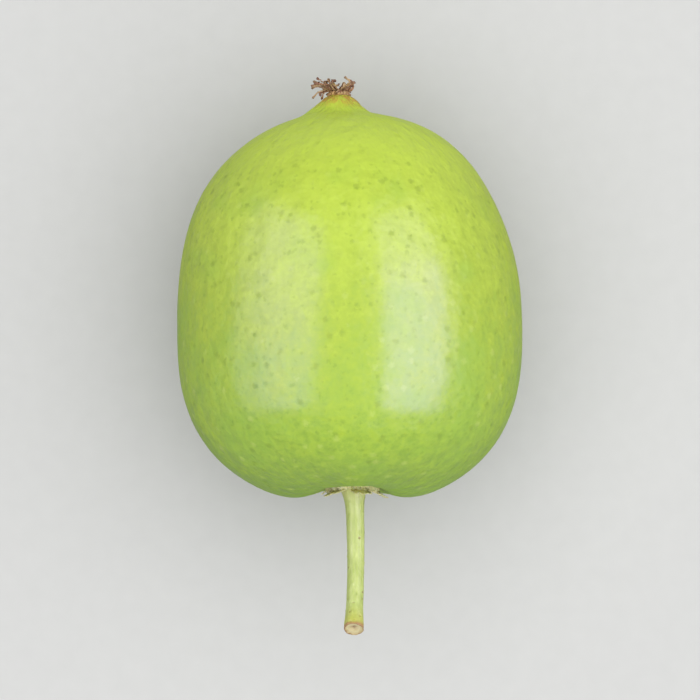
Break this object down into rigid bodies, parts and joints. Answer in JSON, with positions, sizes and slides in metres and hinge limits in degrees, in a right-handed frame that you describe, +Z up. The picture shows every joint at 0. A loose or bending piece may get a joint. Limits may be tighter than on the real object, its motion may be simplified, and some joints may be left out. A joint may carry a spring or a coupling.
{
  "type": "kiwi berry",
  "caption": "Smooth green kiwi berry lying on its side, with its cut stem, dry calyx ring and a small tuft of dried styles on the beak.",
  "frame": {"origin": "centre of the whole fruit's bounding box, on the surface that it lies on", "axes": "+Y along the fruit towards the beak, -Y towards the stem, +Z up from the surface"},
  "size_m": [0.0202, 0.033, 0.0192],
  "materials": {
    "skin": "thin waxy fruit skin, yellow-green with fine specks, soft gloss",
    "stalk": "fresh pale green stalk with a dry tan cut end, matt",
    "dry_calyx": "dry straw-tan sepal stubs, browner at their torn edges, matt",
    "dry_style": "dry red-brown styles, matt"
  },
  "bodies": {
    "root": {"berry": "skin", "stem": "stalk", "calyx_ring": "dry_calyx", "dried_styles": "dry_style"}
  },
  "joints": []
}
